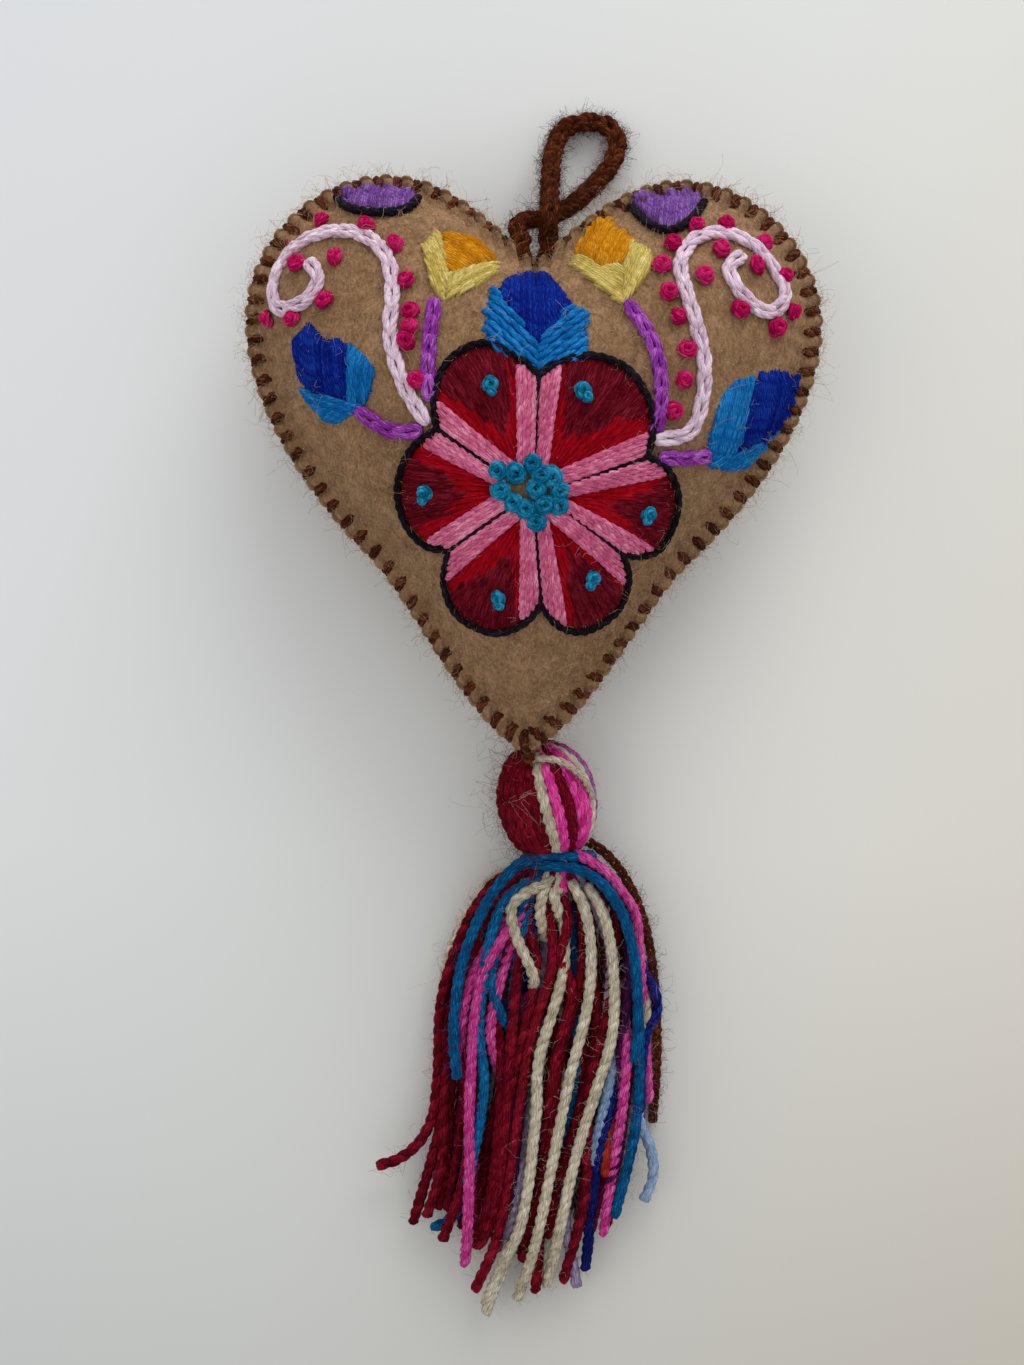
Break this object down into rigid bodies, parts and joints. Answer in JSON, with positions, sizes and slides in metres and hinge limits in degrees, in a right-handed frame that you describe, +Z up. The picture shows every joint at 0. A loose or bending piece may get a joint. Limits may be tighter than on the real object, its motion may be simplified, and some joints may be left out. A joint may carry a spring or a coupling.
{
  "type": "embroidered heart ornament",
  "caption": "Stuffed wool felt heart with an embroidered front and whip-stitched rim, a crocheted hanging loop at the notch and a wrapped yarn tassel at the tip.",
  "frame": {"origin": "middle of the flattened back, on the surface that the heart rests on", "axes": "+Z up through the embroidered front, +Y from the tip towards the notch and the hanging loop, +X to the right as the front is seen"},
  "size_m": [0.0994, 0.2197, 0.0435],
  "materials": {
    "felt_tan": "woollen felt with a soft nap",
    "fleece": "loose fleece, matt",
    "crimson_wool": "soft wool yarn, no shine",
    "black_wool": "soft wool yarn, no shine",
    "teal_wool": "soft wool yarn, no shine",
    "royal_blue_wool": "soft wool yarn, no shine",
    "sky_blue_wool": "soft wool yarn, no shine",
    "orange_wool": "soft wool yarn, no shine",
    "lemon_wool": "soft wool yarn, no shine",
    "purple_wool": "soft wool yarn, no shine",
    "pale_pink_wool": "soft wool yarn, no shine",
    "violet_wool": "soft wool yarn, no shine",
    "rust_wool": "soft wool yarn, no shine",
    "cream_wool": "soft wool yarn, no shine",
    "magenta_wool": "soft wool yarn, no shine",
    "blue_wool": "soft wool yarn, no shine"
  },
  "bodies": {
    "heart": {"front_panel": "felt_tan", "back_panel": "felt_tan", "stuffing": "fleece", "petal_upper_left": "crimson_wool", "petal_dot_upper_left": "teal_wool", "petal_left": "crimson_wool", "petal_dot_left": "teal_wool", "petal_lower_left": "crimson_wool", "petal_dot_lower_left": "teal_wool", "petal_lower_right": "crimson_wool", "petal_dot_lower_right": "teal_wool", "petal_right": "crimson_wool", "petal_dot_right": "teal_wool", "petal_upper_right": "crimson_wool", "petal_dot_upper_right": "teal_wool", "flower_contour": "black_wool", "flower_eye": "teal_wool", "leaf_left_dark": "royal_blue_wool", "leaf_left_light": "sky_blue_wool", "leaf_right_dark": "royal_blue_wool", "leaf_right_light": "sky_blue_wool", "leaf_top_dark": "royal_blue_wool", "leaf_top_light": "sky_blue_wool", "bud_left_orange": "orange_wool", "bud_left_lemon": "lemon_wool", "bud_right_orange": "orange_wool", "bud_right_lemon": "lemon_wool", "berry_left": "purple_wool", "berry_left_underline": "black_wool", "berry_right": "purple_wool", "berry_right_underline": "black_wool", "scroll_left": "pale_pink_wool", "scroll_right": "pale_pink_wool", "stem_left_upper": "violet_wool", "stem_left_lower": "violet_wool", "stem_right_upper": "violet_wool", "stem_right_lower": "violet_wool"},
    "loop": {"hanging_loop": "rust_wool"},
    "tie": {"tie_knot": "rust_wool"},
    "tassel": {"tassel_head": "crimson_wool", "tassel_core": "cream_wool", "tie_thread": "cream_wool", "skirt_row_lowest": "crimson_wool", "skirt_row_lower": "magenta_wool", "skirt_row_upper": "blue_wool", "skirt_row_uppermost": "crimson_wool", "neck_tie": "blue_wool", "cream_yarn_left": "cream_wool", "cream_yarn_middle": "cream_wool", "cream_yarn_right": "cream_wool", "magenta_yarn_left": "magenta_wool"},
    "tail": {"tail_cord": "rust_wool"}
  },
  "joints": [
    {"name": "loop_fold", "type": "hinge", "parent": "heart", "child": "loop", "pos_m": [0, 0.0282, 0.019], "axis": [1, 0, 0], "range_deg": [-15, 60]},
    {"name": "tassel_swing", "type": "hinge", "parent": "heart", "child": "tie", "pos_m": [0.0004, -0.0625, 0.019], "axis": [0, 0, 1], "range_deg": [-35, 35]},
    {"name": "tassel_lift", "type": "hinge", "parent": "tie", "child": "tassel", "pos_m": [0.0004, -0.0625, 0.019], "axis": [-1, 0, 0], "range_deg": [-10, 110]},
    {"name": "tail_swing", "type": "hinge", "parent": "tassel", "child": "tail", "pos_m": [0.0129, -0.0786, 0.0082], "axis": [0, 0, 1], "range_deg": [0, 40]}
  ]
}
